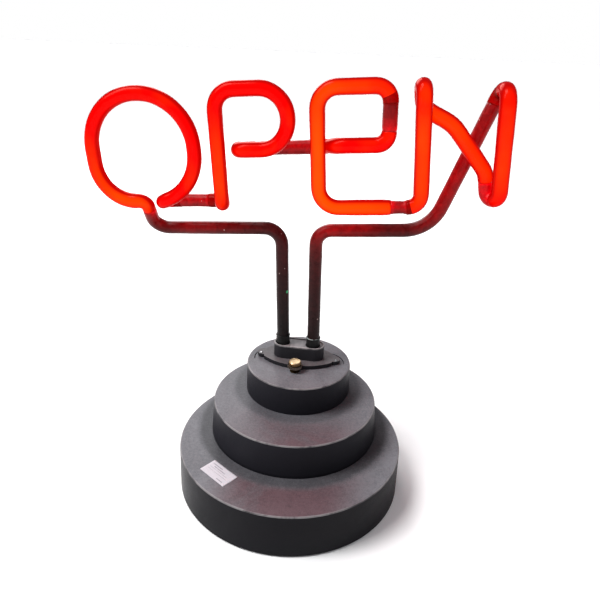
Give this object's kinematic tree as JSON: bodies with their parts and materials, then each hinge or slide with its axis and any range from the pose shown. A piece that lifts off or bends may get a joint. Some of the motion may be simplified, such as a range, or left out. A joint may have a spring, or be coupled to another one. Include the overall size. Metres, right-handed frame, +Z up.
{
  "type": "lighted advertising sign",
  "caption": "Table-top shop sign: a bent gas-discharge glass tube spelling open stands in a socket on a stepped round base that holds its supply, switch and power inlet.",
  "frame": {"origin": "on the table under the centre of the base's lowest tier, on the face of the middle foot", "axes": "+Z up; +X to the reader's right along the word; the word is read looking along +Y, so its front is at -Y"},
  "size_m": [0.2787, 0.1664, 0.2925],
  "materials": {
    "base_plastic": "matte",
    "dark_plastic": "satin",
    "socket_plastic": "satin",
    "rocker_plastic": "gloss",
    "foot_rubber": "matte",
    "boot_rubber": "satin",
    "steel": "satin",
    "cap_metal": "satin",
    "potting": "matte",
    "white_insulation": "satin",
    "red_insulation": "satin",
    "socket_ceramic": "gloss",
    "brass": "satin",
    "screw_brass": "polished",
    "washer_metal": "satin",
    "label_paper": "matte",
    "lit_glass": "gloss",
    "painted_glass": "satin"
  },
  "bodies": {
    "base": {"lower_tier": "base_plastic", "middle_tier": "base_plastic", "top_tier": "base_plastic", "bottom_cover": "dark_plastic", "cover_screws": "steel", "rubber_feet": "foot_rubber", "rear_panel": "dark_plastic", "inlet_body": "dark_plastic", "inlet_pin": "steel", "inlet_nut": "steel", "switch_body": "dark_plastic", "supply_case": "dark_plastic", "supply_potting": "potting", "supply_screws": "steel", "high_voltage_leads": "white_insulation", "low_voltage_leads": "red_insulation", "socket_left": "socket_ceramic", "socket_right": "socket_ceramic", "contact_clips": "brass", "thread_insert": "brass", "price_label": "label_paper"},
    "rocker": {"switch_rocker": "rocker_plastic"},
    "tube_module": {"flange": "socket_plastic", "collar": "socket_plastic", "boot_left": "boot_rubber", "boot_right": "boot_rubber", "locating_pins": "steel", "electrode_caps": "cap_metal", "electrodes": "steel", "glass_lead_left": "painted_glass", "glass_o": "lit_glass", "glass_link_o_p": "painted_glass", "glass_p": "lit_glass", "glass_link_p_e": "painted_glass", "glass_e_arm": "lit_glass", "glass_e_riser": "painted_glass", "glass_e": "lit_glass", "glass_link_e_n": "painted_glass", "glass_n_stem": "lit_glass", "glass_n_foot": "painted_glass", "glass_n_right": "lit_glass", "glass_lead_right": "painted_glass"},
    "washer": {"clamp_washer": "washer_metal"},
    "screw": {"thumb_screw": "screw_brass"}
  },
  "joints": [
    {"name": "rocker_tilt", "type": "hinge", "parent": "base", "child": "rocker", "pos_m": [0.009, 0.0745, 0.018], "axis": [0, 0, 1], "range_deg": [-16, 0]},
    {"name": "tube_lift", "type": "slide", "parent": "base", "child": "tube_module", "axis": [0, 0, 1], "range_m": [0, 0.06]},
    {"name": "washer_lift", "type": "slide", "parent": "tube_module", "child": "washer", "axis": [0, 0, 1], "range_m": [0, 0.00804]},
    {"name": "screw_turn", "type": "hinge", "parent": "washer", "child": "screw", "pos_m": [-0.0007, 0.0152, 0.09], "axis": [0, 0, 1], "range_deg": [0, 4140]}
  ],
  "couplings": [
    {"joint": "screw_turn", "follows": "washer_lift", "rad_per_m": 8976}
  ]
}
